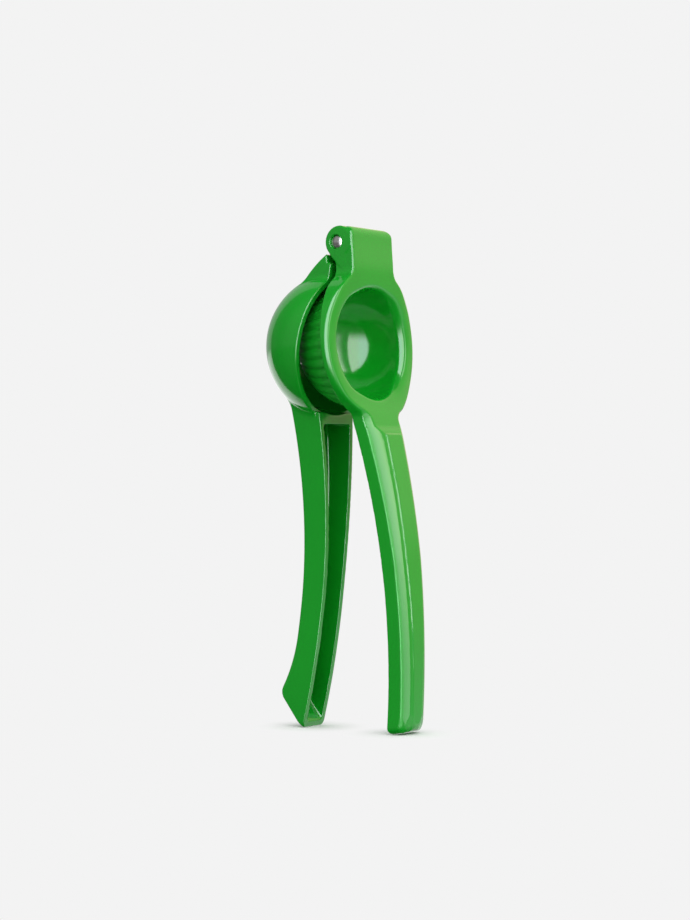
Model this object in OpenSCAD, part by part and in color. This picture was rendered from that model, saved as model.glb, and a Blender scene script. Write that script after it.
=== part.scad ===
// Hinged lemon squeezer: two enamelled cast levers and the steel pin that joins them.
// Each lever is drawn in its own frame, with the hinge axis at the origin, the lever hanging
// down along -Z and its outward side towards +X. The standing pose then leans both levers
// apart until their feet meet the ground.

/* [Hinge] */
// Diameter of the hinge pin
pin_d = 6; // [4:0.1:7]
// Interference between the pin and the two ears
pin_press = 0.01; // [0.005:0.005:0.02]
// Running clearance on the radius between the pin and the tongue
pin_clearance = 0.05; // [0.02:0.01:0.09]
// How far the ends of the pin sit below the sides of the ears
pin_recess = 0.5; // [0.2:0.1:1.5]
// Outer radius of the round ears
ear_r = 6.4; // [5.5:0.1:7.2]
// Width of the hinge block over both ears
block_w = 30.4; // [26:0.2:34]
// Distance from the hinge axis to the front of the block
block_front = 8.9; // [8.2:0.1:10]
// Rounding of the block's top corners, seen from the front
block_corner_r = 3.8; // [2:0.1:4.4]
// Rounding of the ears' rims
ear_rim_r = 1.2; // [0.6:0.1:2]
// Rounding where the block's top rolls over to its front
block_top_r = 4.4; // [2:0.1:5]
// Rounding of the block's upright front edges
block_side_r = 1.4; // [0.5:0.1:2]
// Radius of the fillet between the block and the flange
block_fillet_r = 6; // [3:0.5:9]
// Width of the tongue between the ears
tongue_w = 13.4; // [10:0.1:16]
// Outer radius of the tongue round the pin
tongue_r = 5.9; // [5:0.1:6.2]
// Free play around the tongue
tongue_gap = 0.3; // [0.25:0.05:0.6]

/* [Press cup] */
// Distance from the hinge axis down to the middle of the press cup
ring_drop = 42.6; // [41.8:0.1:44]
// Outer radius of the flange
ring_r = 32.5; // [31:0.1:34]
// Front face of the flange, ahead of the hinge axis
flange_front = 6.2; // [5.5:0.1:7.5]
// Back face of the flange, ahead of the hinge axis
flange_back = 2; // [1.5:0.1:3]
// Rounding of the flange's outer front edge
flange_edge_r = 2; // [0.5:0.1:2.4]
// Rounding of the dish's mouth
mouth_edge_r = 2.8; // [1:0.1:3.5]
// Outer radius of the fluted dome
dome_r = 26.5; // [24:0.1:27]
// Number of flutes round the dome
flute_count = 36; // [24:1:40]
// Depth of a flute
flute_depth = 1; // [0.4:0.1:1.4]
// Wall of the dome under the flutes
dome_wall = 2.4; // [1.8:0.1:3.2]

/* [Juice cup] */
// Distance from the hinge axis down to the middle of the juice cup
cup_drop = 43.6; // [42.5:0.1:45]
// Rim plane of the juice cup, behind the hinge axis
cup_back = 0.8; // [0.6:0.1:1.5]
// Outer radius of the juice cup
cup_r = 31.7; // [30.5:0.1:33]
// Wall of the juice cup
cup_wall = 2.8; // [2:0.1:3]
// Diameter of a drain hole
drain_d = 3.8; // [2.5:0.1:4.5]
// Radius of the inner ring of drain holes
drain_inner_r = 7; // [6:0.1:7.5]
// Radius of the outer ring of drain holes
drain_outer_r = 14.6; // [13.5:0.1:15.5]

/* [Press handle] */
// Distance from the hinge axis down to the end of the press handle
press_length = 205.9; // [195:0.5:215]
// Furthest reach of the press handle's front panel
press_front_x = 22.8; // [20:0.1:25]
// Radius of the press handle's front curve
press_front_r = 393; // [350:1:450]
// Thickness of the press handle where it is furthest out
press_thick = 9.6; // [8:0.1:11]
// Radius of the press handle's back curve
press_back_r = 362; // [330:1:420]
// Height of the press handle's furthest point, below the hinge axis
press_mid = 159; // [150:1:168]
// Half width of the press handle at its root
press_root_w = 13.3; // [11.5:0.1:14]
// Half width of the press handle at its foot
press_foot_w = 8.7; // [7.5:0.1:10]
// Depth below the hinge axis where the press handle's raised panel begins
panel_top = 80.6; // [79:0.1:90]
// Height of the ramp that carries the handle's front up onto the panel
panel_ramp = 3.4; // [2:0.1:3.6]
// How far the panel is raised over that ramp
panel_rise = 2.1; // [1:0.1:2.4]
// Width of the sloping flanks on both sides of the panel
bevel_w = 5; // [3:0.1:6]
// Depth of the sloping flanks
bevel_d = 3.1; // [2.6:0.1:3.6]
// Rounding of the press handle's edges at the foot
press_edge_r = 2; // [1:0.1:2.5]
// Radius of the fillets between the flange and the press handle
press_fillet_r = 4; // [2:0.5:6]
// Rounding of the press handle's rear foot corner
press_foot_r = 2.8; // [1.5:0.1:3]

/* [Cup handle] */
// Distance from the hinge axis down to the foot of the cup handle
cup_length = 206; // [195:0.5:215]
// Furthest reach of the cup handle's front curve
cup_front_x = 13; // [11:0.1:14]
// Radius of the cup handle's front curve
cup_front_r = 404; // [360:1:450]
// Depth of the cup handle where it is slimmest
cup_depth = 11.6; // [9.5:0.1:13]
// Radius of the cup handle's back curve
cup_back_r = 301; // [270:1:340]
// How far the beak stands out behind the handle's slimmest point
beak_reach = 12; // [9:0.5:15]
// Height of the cup handle's slimmest point, below the hinge axis
cup_mid = 168; // [160:1:175]
// Slope of the cup handle's end face
beak_slope = 44; // [30:0.5:50]
// Half width of the cup handle at its root
cup_root_w = 12.4; // [11:0.1:13]
// Half width of the cup handle at its foot
cup_foot_w = 7.7; // [7:0.1:9]
// Depth below the hinge axis where the cup handle stops tapering
cup_taper_end = 150; // [130:1:180]
// Rounding of the cup handle's back edges
cup_edge_r = 2.2; // [1:0.1:3]
// Rounding of the cup handle's foot
cup_foot_r = 1; // [0.8:0.1:2]
// Thickness of the wall that closes the cup handle's channel at the foot
cup_end_wall = 3.6; // [2:0.1:5]

/* [Castings] */
// Side walls of both handle channels
channel_wall = 2.4; // [1.8:0.1:3]
// Floor of both handle channels
channel_floor = 2.6; // [2:0.1:3.2]
// Solid land between a cup and the channel below it
channel_land = 4; // [3:0.1:8]
// Rounding inside the channels' corners
channel_r = 1.2; // [0.6:0.1:1.6]
// Rounding of the feet's corners, seen from the front
foot_corner_r = 3; // [1:0.1:4]

/* [Standing pose] */
// Angle between the two legs, seen from the hinge
stand_angle = 13.3; // [8:0.1:30]
// Depth of the flat that wear and enamel leave under each foot
foot_land = 0.3; // [0.1:0.05:0.6]

/* [Hidden] */

// One overrun serves every cut.
over = 1;
// The blunting of the edges between the press handle's sides and its flanks.
bevel_soft = 0.8;
// Smoothness of exact round forms, of the handles' edges and of the flutes.
$fn = 96;
edge_steps = 4;
corner_steps = 2;
dome_steps = 9;
flute_points = 4;
curve_steps = 18;
profile_steps = 24;

// Shares that shape the swell of each handle towards its root.
press_swell_share = 1.8;
cup_swell_share = 1.7;
// Where on the pole-to-rim arc the flutes begin to rise, and how fast they reach full depth.
flute_rise_share = 0.6;

// Dish: the dome's wall is even, so the dish follows from the dome.
dish_r = dome_r - flute_depth - dome_wall;
dome_x = 0;
mouth_r = dish_r;

// Fillets between the block's sides and the flange: centre, and where they meet the flange.
fillet_y = block_w / 2 + block_fillet_r;
fillet_rise = sqrt(pow(ring_r + block_fillet_r, 2) - pow(fillet_y, 2));
fillet_z = fillet_rise - ring_drop;
fillet_foot_y = fillet_y * ring_r / (ring_r + block_fillet_r);
fillet_foot_z = fillet_rise * ring_r / (ring_r + block_fillet_r) - ring_drop;

// Fillets between the flange and the press handle: centre, and where they meet the flange.
root_fillet_y = press_root_w + press_fillet_r;
root_fillet_drop = sqrt(pow(ring_r + press_fillet_r, 2) - pow(root_fillet_y, 2));
root_fillet_z = -ring_drop - root_fillet_drop;
root_foot_y = root_fillet_y * ring_r / (ring_r + press_fillet_r);
root_foot_z = -ring_drop - root_fillet_drop * ring_r / (ring_r + press_fillet_r);

// Neck of the press lever, and the ramps that carry it into the flange.
neck_back = -0.5;
neck_ramp_top = ring_drop - ring_r + flange_back;
neck_ramp_end = ring_drop - dome_r + flange_back + flange_edge_r;

// Neck of the cup lever: its tip, the seat that clears the ears, and its rear slope.
neck_tip_x = -4.2;
neck_tip_z = -5.7;
seat_r = 9.4;
seat_back_x = -3.3;
neck_rear_x = -14.4;
neck_rear_z = -19.2;
neck_bulge = 0.75;

// Curves of the handles, as a reach towards +X at a height z.
function bow(z, x_max, z_mid, r) = x_max - r + sqrt(r * r - (z - z_mid) * (z - z_mid));
function press_front_at(z) = bow(z, press_front_x, -press_mid, press_front_r);
function press_back_at(z) = bow(z, press_front_x - press_thick, -press_mid, press_back_r);
function cup_front_at(z) = bow(z, cup_front_x, -cup_mid, cup_front_r);
cup_spine_x = cup_front_x - cup_depth;
beak_r = (pow(cup_length - cup_mid, 2) + pow(beak_reach, 2)) / (2 * beak_reach);
function cup_back_at(z) = bow(z, cup_spine_x, -cup_mid, z < -cup_mid ? beak_r : cup_back_r);

// Half width of a handle: foot width up to z_narrow, then a smooth swell to the root.
function swell(z, z_narrow, z_root, foot_w, root_w, power_share) =
    foot_w + (root_w - foot_w) * pow(max(0, (z - z_narrow) / (z_root - z_narrow)), power_share);
press_root_z = -ring_drop - ring_r;
cup_root_z = -cup_drop - cup_r + cup_wall;
function press_w_at(z) =
    swell(min(z, press_root_z), -press_length, press_root_z, press_foot_w, press_root_w, press_swell_share);
function cup_w_at(z) =
    swell(min(z, cup_root_z), -cup_taper_end, cup_root_z, cup_foot_w, cup_root_w, cup_swell_share);

// Feet: each rests on one rounded corner. These are the centres of those roundings.
press_foot = [press_back_at(press_foot_r - press_length) + press_foot_r, press_foot_r - press_length];
cup_foot = [cup_front_at(cup_foot_r - cup_length) - cup_foot_r, cup_foot_r - cup_length];

// Standing pose: a triangle of the hinge and the two feet, laid on the ground.
press_leg = norm(press_foot);
cup_leg = norm(cup_foot);
feet_gap = sqrt(pow(press_leg, 2) + pow(cup_leg, 2) - 2 * press_leg * cup_leg * cos(stand_angle));
press_corner = acos((pow(press_leg, 2) + pow(feet_gap, 2) - pow(cup_leg, 2)) / (2 * press_leg * feet_gap));
cup_corner = 180 - stand_angle - press_corner;
ground_tilt = asin((press_foot_r - cup_foot_r) / feet_gap);
press_lean = atan2(press_foot[0], -press_foot[1]) - (90 + ground_tilt - press_corner);
cup_lean = atan2(cup_foot[0], -cup_foot[1]) + (90 - ground_tilt - cup_corner);
hinge_z = press_leg * sin(press_corner - ground_tilt) + press_foot_r - foot_land;

// The origin lies on the ground below the middle of the object's box.
cup_mid_x = -cup_back * cos(cup_lean) - cup_drop * sin(cup_lean);
bow_mid_x = (press_front_x - press_front_r) * cos(press_lean) - press_mid * sin(press_lean);
box_min_x = cup_mid_x - cup_r;
box_max_x = bow_mid_x + press_front_r;
hinge_x = -(box_min_x + box_max_x) / 2;
echo(hinge_x = hinge_x, hinge_z = hinge_z, press_lean = press_lean, cup_lean = cup_lean);
echo(box_min = box_min_x + hinge_x, box_max = box_max_x + hinge_x);

// Points on an arc from angle a to angle b.
function arc(c, r, a, b, n) = [for (i = [0:n]) c + r * [cos(a + (b - a) * i / n), sin(a + (b - a) * i / n)]];

// A slice of a handle at height z: open edge at x_open, outer face at x_face with rounded edges.
function slice(z, x_open, x_face, w, r, n) =
    let (s = sign(x_face - x_open),
         half = concat([[0, w]], arc([abs(x_face - x_open) - r, w - r], r, 90, 0, n)))
    let (outline = concat(half, [for (i = [len(half) - 1:-1:0]) [half[i][0], -half[i][1]]]))
    [for (p = outline) [x_open + s * p[0], s * p[1], z]];

// A slice of the press handle: its front is a flat panel between two flanks that slope to the sides.
function crowned(z, back, front, w, d) =
    let (deep = front - back, side = deep - d, slope = bevel_d / bevel_w)
    let (half = [[0, w], [side - bevel_soft, w],
                 [side + bevel_soft * slope, w - bevel_soft], [deep, w - d / slope]])
    let (outline = concat(half, [for (i = [len(half) - 1:-1:0]) [half[i][0], -half[i][1]]]))
    [for (p = outline) [back + p[0], p[1], z]];

// A solid through a stack of slices, from the top one down.
module stack(slices) {
    n = len(slices[0]);
    m = len(slices);
    points = [for (s = slices) each s];
    sides = [for (j = [0:m - 2], i = [0:n - 1])
        let (k = (i + 1) % n)
        each [[j * n + i, (j + 1) * n + k, j * n + k], [j * n + i, (j + 1) * n + i, (j + 1) * n + k]]];
    top = [for (i = [0:n - 1]) i];
    bottom = [for (i = [n - 1:-1:0]) (m - 1) * n + i];
    polyhedron(points, concat(sides, [top, bottom]));
}

// Extrudes a profile drawn in the lever's X-Z plane across the width w.
module across(w) {
    rotate([90, 0, 0])
        linear_extrude(w, center = true)
            children();
}

// Places children, drawn about +Z, round an axis along X at a height z.
module facing_x(z) {
    translate([0, 0, z])
        rotate([0, 90, 0])
            children();
}

// Side view of the hinge block and of the neck down to the flange.
module block_profile() {
    translate([block_front - block_top_r, ear_r - block_top_r])
        circle(block_top_r);
    translate([0, -ear_r])
        square([block_front - block_top_r, 2 * ear_r]);
    polygon([
        [0, ear_r - block_top_r],
        [block_front, ear_r - block_top_r],
        [block_front, -neck_ramp_top],
        [flange_front, -neck_ramp_end],
        [flange_back, -neck_ramp_end],
        [neck_back, -neck_ramp_top],
        [neck_back, 0]
    ]);
}

// Front view of the hinge block, with rounded top corners.
module block_front_view() {
    corner = block_w / 2 - block_corner_r;
    for (side = [-1, 1])
        translate([side * corner, ear_r - block_corner_r])
            circle(block_corner_r);
    translate([-corner, 0])
        square([2 * corner, ear_r]);
    translate([-block_w / 2, -neck_ramp_end])
        square([block_w, neck_ramp_end + ear_r - block_corner_r]);
    difference() {
        polygon([for (side = [-1, 1], low = side < 0 ? [0, 1] : [1, 0])
            [side * (low ? fillet_foot_y : block_w / 2), low ? fillet_foot_z : fillet_z]]);
        for (side = [-1, 1])
            translate([side * fillet_y, fillet_z])
                circle(block_fillet_r);
    }
}

// Plan view of the hinge block, with rounded front corners.
module block_plan() {
    corner = block_w / 2 - block_side_r;
    back = -ear_r - over;
    for (side = [-1, 1])
        translate([block_front - block_side_r, side * corner])
            circle(block_side_r);
    translate([back, -fillet_foot_y])
        square([flange_front - back, 2 * fillet_foot_y]);
    translate([back, -block_w / 2])
        square([block_front - block_side_r - back, block_w]);
    translate([back, -corner])
        square([block_front - back, 2 * corner]);
}

// The round ears as one barrel about the hinge axis, with rounded rims.
module ear_barrel() {
    flat = block_w / 2 - ear_rim_r;
    rotate([90, 0, 0])
        rotate_extrude() {
            translate([0, -block_w / 2])
                square([ear_r - ear_rim_r, block_w]);
            translate([0, -flat])
                square([ear_r, 2 * flat]);
            intersection() {
                square([ear_r, block_w / 2 + over]);
                translate([ear_r - ear_rim_r, flat])
                    circle(ear_rim_r);
            }
            intersection() {
                translate([0, -block_w / 2 - over])
                    square([ear_r, block_w / 2 + over]);
                translate([ear_r - ear_rim_r, -flat])
                    circle(ear_rim_r);
            }
        }
}

module hinge_block() {
    ear_barrel();
    intersection() {
        across(block_w)
            block_profile();
        translate([-ear_r - over, 0, 0])
            rotate([90, 0, 90])
                linear_extrude(ear_r + block_front + 2 * over)
                    block_front_view();
        translate([0, 0, -neck_ramp_end - over])
            linear_extrude(neck_ramp_end + ear_r + 2 * over)
                block_plan();
    }
}

// The slot that the tongue swings in, open to the back and the top.
module tongue_slot() {
    slot_r = tongue_r + tongue_gap;
    slot_floor = seat_r + tongue_gap;
    across(tongue_w + 2 * tongue_gap) {
        circle(slot_r);
        polygon([
            [slot_r * cos(45), -slot_r * sin(45)],
            [0, -slot_floor],
            [-ear_r - over, -slot_floor],
            [-ear_r - over, ear_r + over],
            [0, ear_r + over],
            [0, 0]
        ]);
    }
}

module pin_hole(r) {
    rotate([90, 0, 0])
        cylinder(h = block_w + 2 * over, r = r, center = true);
}

// The flange: a disc with its outer front edge rounded.
module flange() {
    facing_x(-ring_drop)
        rotate_extrude()
            union() {
                translate([0, flange_back])
                    square([ring_r, flange_front - flange_back - flange_edge_r]);
                translate([0, flange_back])
                    square([ring_r - flange_edge_r, flange_front - flange_back]);
                translate([ring_r - flange_edge_r, flange_front - flange_edge_r])
                    circle(flange_edge_r);
            }
}

// The dome: a hemisphere whose flutes run from the flange towards the pole and fade out there.
module fluted_dome() {
    n = flute_count * flute_points;
    root_x = (flange_back + flange_front) / 2;
    function dome_at(turn, lift) =
        let (rise = min(1, sin(90 - lift) / flute_rise_share))
        dome_r - flute_depth * rise * (1 - cos(turn * flute_count)) / 2;
    function ring(x, lift) = [for (i = [0:n - 1])
        let (turn = 360 * i / n, r = dome_at(turn, lift) * cos(lift))
        [x, r * sin(turn), r * cos(turn)]];
    rings = concat(
        [ring(root_x, 0)],
        [for (j = [0:dome_steps - 1])
            let (lift = 90 * j / dome_steps)
            ring(dome_x - dome_r * sin(lift), lift)]
    );
    m = len(rings);
    points = concat([for (r = rings) each r], [[dome_x - dome_r, 0, 0]]);
    sides = [for (j = [0:m - 2], i = [0:n - 1])
        let (k = (i + 1) % n)
        each [[j * n + i, (j + 1) * n + k, j * n + k], [j * n + i, (j + 1) * n + i, (j + 1) * n + k]]];
    pole = [for (i = [0:n - 1]) [(m - 1) * n + i, m * n, (m - 1) * n + (i + 1) % n]];
    base = [for (i = [0:n - 1]) i];
    translate([0, 0, -ring_drop])
        polyhedron(points, concat(sides, pole, [base]));
}

// The dish inside the dome, with its mouth rounded into the front of the flange.
module dish() {
    facing_x(-ring_drop) {
        translate([0, 0, dome_x])
            sphere(dish_r);
        translate([0, 0, dome_x])
            cylinder(h = flange_front - dome_x + over, r = mouth_r);
        rotate_extrude()
            difference() {
                translate([0, flange_front - mouth_edge_r])
                    square([mouth_r + mouth_edge_r, mouth_edge_r + over]);
                translate([mouth_r + mouth_edge_r, flange_front - mouth_edge_r])
                    circle(mouth_edge_r);
            }
    }
}

// Front view of a handle whose foot has rounded corners, cut from a blank wider than its root.
module foot_front_view(length, foot_w, root_w) {
    corner = foot_w - foot_corner_r;
    corner_z = foot_corner_r - length;
    polygon(concat(
        [[-root_w - over, 0], [-root_w - over, -ring_drop - ring_r]],
        arc([-corner, corner_z], foot_corner_r, 180, 270, edge_steps * 2),
        arc([corner, corner_z], foot_corner_r, 270, 360, edge_steps * 2),
        [[root_w + over, -ring_drop - ring_r], [root_w + over, 0]]
    ));
}

// Extrudes a profile drawn in the lever's Y-Z plane along X, through the whole lever.
module along_x() {
    rotate([90, 0, 90])
        linear_extrude(2 * ring_drop, center = true)
            children();
}

// Side view of the press handle's end: rounded at the back corner, where the foot rests.
module press_end_profile() {
    front_foot_x = press_front_at(-press_length);
    polygon(concat(
        arc(press_foot, press_foot_r, 180, 270, edge_steps * 2),
        arc([front_foot_x - press_edge_r, press_edge_r - press_length], press_edge_r,
            270, 360, edge_steps * 2),
        [
            [press_front_x + over, -press_mid],
            [press_front_x + over, -ring_drop],
            [-over, -ring_drop],
            [-over, -press_mid]
        ]
    ));
}

// The press handle's solid form, before its back is hollowed.
module press_handle() {
    root_top = -ring_drop - mouth_r - mouth_edge_r;
    foot_z = -press_length - over;
    low_front = press_front_at(press_root_z) - panel_rise;
    // The front eases out of the flange's face, follows the handle's curve and steps up to the panel.
    function front_x(z) = z > press_root_z
        ? flange_front + (low_front - flange_front) * (root_top - z) / (root_top - press_root_z)
        : press_front_at(z) - (z > -panel_top ? panel_rise : 0);
    function bevel_at(z) = z > -panel_top ? bevel_d - panel_rise : bevel_d;
    function station(z, back) = crowned(z, back, front_x(z), press_w_at(z), bevel_at(z));
    ledge = press_root_z + flange_back / 2;
    intersection() {
        stack(concat(
            [station(root_top, flange_back), station(ledge, flange_back)],
            [for (z = [press_root_z, -panel_top + panel_ramp]) station(z, press_back_at(z))],
            [for (j = [0:curve_steps])
                let (z = -panel_top + (foot_z + panel_top) * j / curve_steps)
                station(z, press_back_at(z))]
        ));
        across(2 * press_root_w + 2 * over)
            press_end_profile();
        along_x()
            foot_front_view(press_length, press_foot_w, press_root_w);
    }
}

// The webs that fill the corners between the flange and the press handle's sides.
module root_fillets() {
    intersection() {
        translate([flange_back, -ring_r, -ring_drop - ring_r - press_fillet_r])
            cube([flange_front - flange_edge_r - flange_back, 2 * ring_r, ring_r + press_fillet_r]);
        along_x()
            difference() {
                polygon([
                    [0, root_foot_z],
                    [root_foot_y, root_foot_z],
                    [press_root_w, root_fillet_z],
                    [-press_root_w, root_fillet_z],
                    [-root_foot_y, root_foot_z]
                ]);
                for (side = [-1, 1])
                    translate([side * root_fillet_y, root_fillet_z])
                        circle(press_fillet_r);
            }
    }
}

// The hollow in the back of the press handle, facing the cup handle.
module press_channel() {
    top = press_root_z - channel_land;
    bottom = -press_length + channel_wall + press_foot_r;
    function station(z) = slice(
        z, press_back_at(z) - over, press_front_at(z) - bevel_d - channel_floor / 2,
        press_w_at(z) - channel_wall, channel_r, corner_steps
    );
    stack([for (j = [0:curve_steps]) station(top + (bottom - top) * j / curve_steps)]);
}

module press_lever_local() {
    difference() {
        union() {
            hinge_block();
            flange();
            fluted_dome();
            press_handle();
            root_fillets();
        }
        dish();
        tongue_slot();
        press_channel();
        pin_hole(pin_d / 2 - pin_press);
    }
}

// Side view of the cup lever's neck, with the seat that clears the ears.
module neck_profile() {
    seat_start = acos(-cup_back / seat_r);
    seat_end = acos(seat_back_x / seat_r);
    polygon(concat(
        [[neck_tip_x, neck_tip_z]],
        [for (i = [corner_steps:-1:0])
            let (a = seat_start + (seat_end - seat_start) * i / corner_steps)
            seat_r * [cos(a), -sin(a)]],
        [[-cup_back, -cup_drop + cup_r / 2], [neck_rear_x, -cup_drop + cup_r / 2]],
        [for (i = [0:corner_steps])
            let (t = i / (corner_steps + 1), swell_out = 4 * neck_bulge * t * (1 - t))
            [neck_rear_x + (neck_tip_x - neck_rear_x) * t - swell_out,
             neck_rear_z + (neck_tip_z - neck_rear_z) * t + swell_out]]
    ));
}

// Side view of the tongue, from the pin down into the neck.
module tongue_profile() {
    circle(tongue_r);
    reach = acos(tongue_r / seat_r);
    seat_start = acos(-cup_back / seat_r);
    polygon([
        [0, 0],
        tongue_r * [cos(reach - seat_start), sin(reach - seat_start)],
        seat_r * [cos(seat_start), -sin(seat_start)],
        [-cup_back, -cup_drop + cup_r - cup_wall],
        [neck_rear_x / 2, neck_rear_z / 2],
        [neck_tip_x, neck_tip_z],
        tongue_r * [-1, 0]
    ]);
}

// The juice cup: half a hollow sphere, open at the rim plane.
module cup_shell() {
    facing_x(-cup_drop)
        translate([0, 0, -cup_back])
            rotate_extrude()
                intersection() {
                    circle(cup_r);
                    translate([0, -cup_r])
                        square(cup_r);
                }
}

module cup_hollow() {
    facing_x(-cup_drop)
        translate([0, 0, -cup_back]) {
            sphere(cup_r - cup_wall);
            cylinder(h = cup_back + cup_r, r = cup_r - cup_wall);
        }
}

// Drain holes: one at the pole and two rings round it, all along the cup's axis.
module drain_holes() {
    places = concat(
        [[0, 0]],
        [for (i = [0:5]) drain_inner_r * [cos(60 * i), sin(60 * i)]],
        [for (i = [0:11]) drain_outer_r * [cos(30 * i + 15), sin(30 * i + 15)]]
    );
    for (p = places)
        translate([-cup_back - cup_r - over, p[0], -cup_drop + p[1]])
            rotate([0, 90, 0])
                cylinder(h = cup_r, d = drain_d);
}

// Side view of the cup handle, from its front curve round the foot and the beak to its back.
module cup_handle_profile() {
    root = -cup_drop - cup_r / 2;
    top_z = cup_root_z;
    foot_z = cup_foot[1];
    // The end face leaves the foot's rounding along its slope and ends at the beak.
    face_start = cup_foot + cup_foot_r * [-sin(beak_slope), -cos(beak_slope)];
    function face_at(x) = face_start[1] + (face_start[0] - x) * tan(beak_slope);
    beak_x = cup_spine_x - pow(face_at(cup_spine_x - cup_edge_r) + cup_mid, 2) / (2 * beak_r);
    beak_z = face_at(beak_x);
    polygon(concat(
        [[-cup_back, root], [-cup_back, top_z + cup_wall / 2]],
        [for (j = [0:profile_steps])
            let (z = top_z + (foot_z - top_z) * j / profile_steps)
            [cup_front_at(z), z]],
        arc(cup_foot, cup_foot_r, 0, -90 - beak_slope, edge_steps * 2),
        [[beak_x, beak_z]],
        [for (j = [1:profile_steps])
            let (z = beak_z + (root - beak_z) * j / profile_steps)
            [cup_back_at(z), z]]
    ));
}

module cup_handle() {
    top = -cup_drop - cup_r / 2;
    low = -cup_length - over;
    function station(z) = slice(
        z, cup_front_x + over, cup_back_at(z), cup_w_at(z), cup_edge_r, edge_steps
    );
    intersection() {
        stack([for (j = [0:curve_steps + edge_steps])
            station(top + (low - top) * j / (curve_steps + edge_steps))]);
        across(2 * cup_root_w + 2 * over)
            cup_handle_profile();
        along_x()
            foot_front_view(cup_length, cup_foot_w, cup_root_w);
    }
}

// The channel in the cup handle's front, with an end wall that follows the beak's slope.
module cup_channel() {
    top = cup_root_z - channel_land;
    low = -cup_length;
    function station(z) = slice(
        z, cup_front_x + over, cup_back_at(z) + channel_floor,
        cup_w_at(z) - channel_wall, channel_r, corner_steps
    );
    face = cup_foot + (cup_end_wall - cup_foot_r) * [sin(beak_slope), cos(beak_slope)];
    difference() {
        stack([for (j = [0:curve_steps]) station(top + (low - top) * j / curve_steps)]);
        translate([face[0], 0, face[1]])
            rotate([0, beak_slope, 0])
                translate([-cup_length, -cup_root_w, -cup_length])
                    cube([2 * cup_length, 2 * cup_root_w, cup_length]);
    }
}

module cup_lever_local() {
    difference() {
        union() {
            cup_shell();
            across(block_w)
                neck_profile();
            across(tongue_w)
                tongue_profile();
            cup_handle();
        }
        cup_hollow();
        cup_channel();
        drain_holes();
        pin_hole(pin_d / 2 + pin_clearance);
    }
}

// Leans a lever about the hinge, lifts it to the hinge's height and trims its foot at the ground.
module standing(lean) {
    difference() {
        translate([hinge_x, 0, hinge_z])
            rotate([0, lean, 0])
                children();
        translate([-hinge_z, -block_w, -block_w])
            cube([2 * hinge_z, 2 * block_w, block_w]);
    }
}

module press_lever() {
    color("yellowgreen")
        standing(press_lean)
            press_lever_local();
}

module cup_lever() {
    color("forestgreen")
        standing(cup_lean)
            cup_lever_local();
}

// The pin: a plain rod whose ends are slightly domed by its rivetting.
module hinge_pin() {
    half = block_w / 2 - pin_recess;
    dome = pin_recess / 2;
    color("silver")
        translate([hinge_x, 0, hinge_z])
            rotate([90, 0, 0])
                rotate_extrude()
                    polygon([
                        [0, -half],
                        [pin_d / 2 - dome, -half],
                        [pin_d / 2, dome - half],
                        [pin_d / 2, half - dome],
                        [pin_d / 2 - dome, half],
                        [0, half]
                    ]);
}

press_lever();
cup_lever();
hinge_pin();
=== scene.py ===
import bpy
import numpy as np
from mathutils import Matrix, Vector


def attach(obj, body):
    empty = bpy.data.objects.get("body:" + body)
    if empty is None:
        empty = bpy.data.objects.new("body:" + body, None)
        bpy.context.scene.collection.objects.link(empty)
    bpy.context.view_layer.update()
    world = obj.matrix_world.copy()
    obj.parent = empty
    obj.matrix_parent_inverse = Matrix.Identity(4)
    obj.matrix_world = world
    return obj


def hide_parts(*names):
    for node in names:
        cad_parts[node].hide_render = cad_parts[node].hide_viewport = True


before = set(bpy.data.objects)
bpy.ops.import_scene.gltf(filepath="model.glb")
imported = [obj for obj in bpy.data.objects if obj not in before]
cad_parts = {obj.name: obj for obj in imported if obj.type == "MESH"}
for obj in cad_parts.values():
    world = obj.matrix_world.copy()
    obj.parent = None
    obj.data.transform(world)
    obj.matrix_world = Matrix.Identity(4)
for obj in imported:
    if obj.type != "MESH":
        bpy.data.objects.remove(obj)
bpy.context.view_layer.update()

# Camera

EYE = (0.55641, -0.79734, 0.11374)
SIGHT = Vector((-0.57358, 0.81915, 0.0))


def studio_camera():
    """A level 90 mm camera on a 36 mm high frame, about a metre from the press."""
    lens = bpy.data.cameras.new("studio_camera")
    lens.sensor_fit = "VERTICAL"
    lens.sensor_height = 36.0
    lens.lens = 90.0
    lens.clip_end = 20.0
    camera = bpy.data.objects.new("studio_camera", lens)
    bpy.context.scene.collection.objects.link(camera)
    camera.location = EYE
    camera.rotation_euler = SIGHT.to_track_quat("-Z", "Y").to_euler()
    bpy.context.scene.camera = camera


studio_camera()

# Sizes in mm, each lever in its own frame

HINGE = np.array([3.98438, 0.0, 204.622])
PRESS_LEAN, CUP_LEAN = -3.00897, 9.42024  # degrees

# The hinge: block with its ears, slot, tongue and pin.
BLOCK_HALF_W, BLOCK_CORNER_R, BLOCK_TOP_R = 15.2, 3.7, 4.4
EAR_R, EAR_X = 6.7, 1.15
HEEL_LINES = (((-0.986, -0.167), (-5.53, 0.0)), ((-0.723, -0.691), (-4.8, -4.36)))
SLOT_HALF_W, SLOT_R, SLOT_FLOOR, SLOT_FRONT = 7.0, 6.2, 9.7, 1.5
SLANT = (0.7226, -0.6912)
TONGUE_HALF_W, TONGUE_R, TONGUE_FLOOR = 6.7, 5.9, 15.5
PIN_R, PIN_GAP_IN_EARS, PIN_GAP_IN_TONGUE = 3.0, 0.04, 0.05
# The caps of the pin's ends: their ball, their edge, rings in each and sides all round.
PIN_BALL_R, PIN_CAP_R, PIN_CAP_RINGS, PIN_SIDES = 5.2, 2.86, 14, 96

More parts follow.
